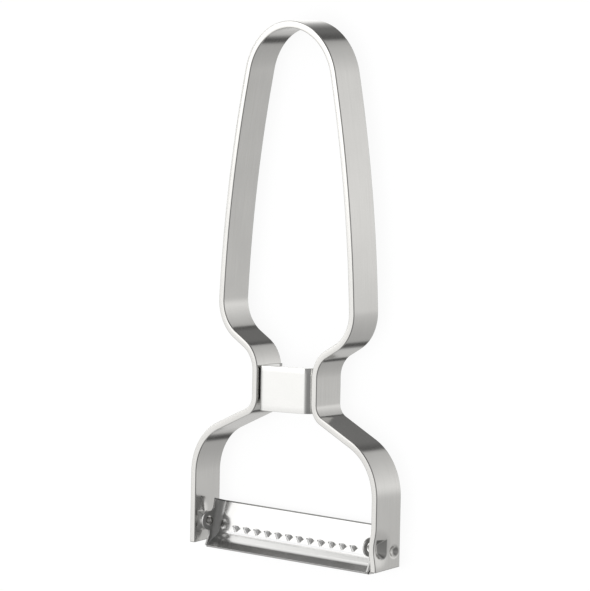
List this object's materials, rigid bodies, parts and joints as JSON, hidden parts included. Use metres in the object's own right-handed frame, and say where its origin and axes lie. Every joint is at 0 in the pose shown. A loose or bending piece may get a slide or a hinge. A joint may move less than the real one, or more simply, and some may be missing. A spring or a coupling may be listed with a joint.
{
  "type": "julienne peeler",
  "caption": "Y-shaped julienne peeler: bent steel strip loop handle with a neck bracket and a swivelling toothed blade.",
  "frame": {"origin": "centre of the bounding box in plan, in the plane of the strip's back edges, on which the tool lies", "axes": "+Y along the handle towards its loop, X along the blade, +Z out of the toothed side"},
  "size_m": [0.0722, 0.1518, 0.0104],
  "materials": {
    "handle_steel": "satin, finely brushed along the strip",
    "bracket_steel": "satin",
    "blade_steel": "polished"
  },
  "bodies": {
    "handle": {"handle_band": "handle_steel", "neck_bracket": "bracket_steel"},
    "blade": {"blade": "blade_steel"}
  },
  "joints": [
    {"name": "blade_swivel", "type": "hinge", "parent": "handle", "child": "blade", "pos_m": [0, -0.06831, 0.0072], "axis": [1, 0, 0], "range_deg": [-50, 48]}
  ]
}
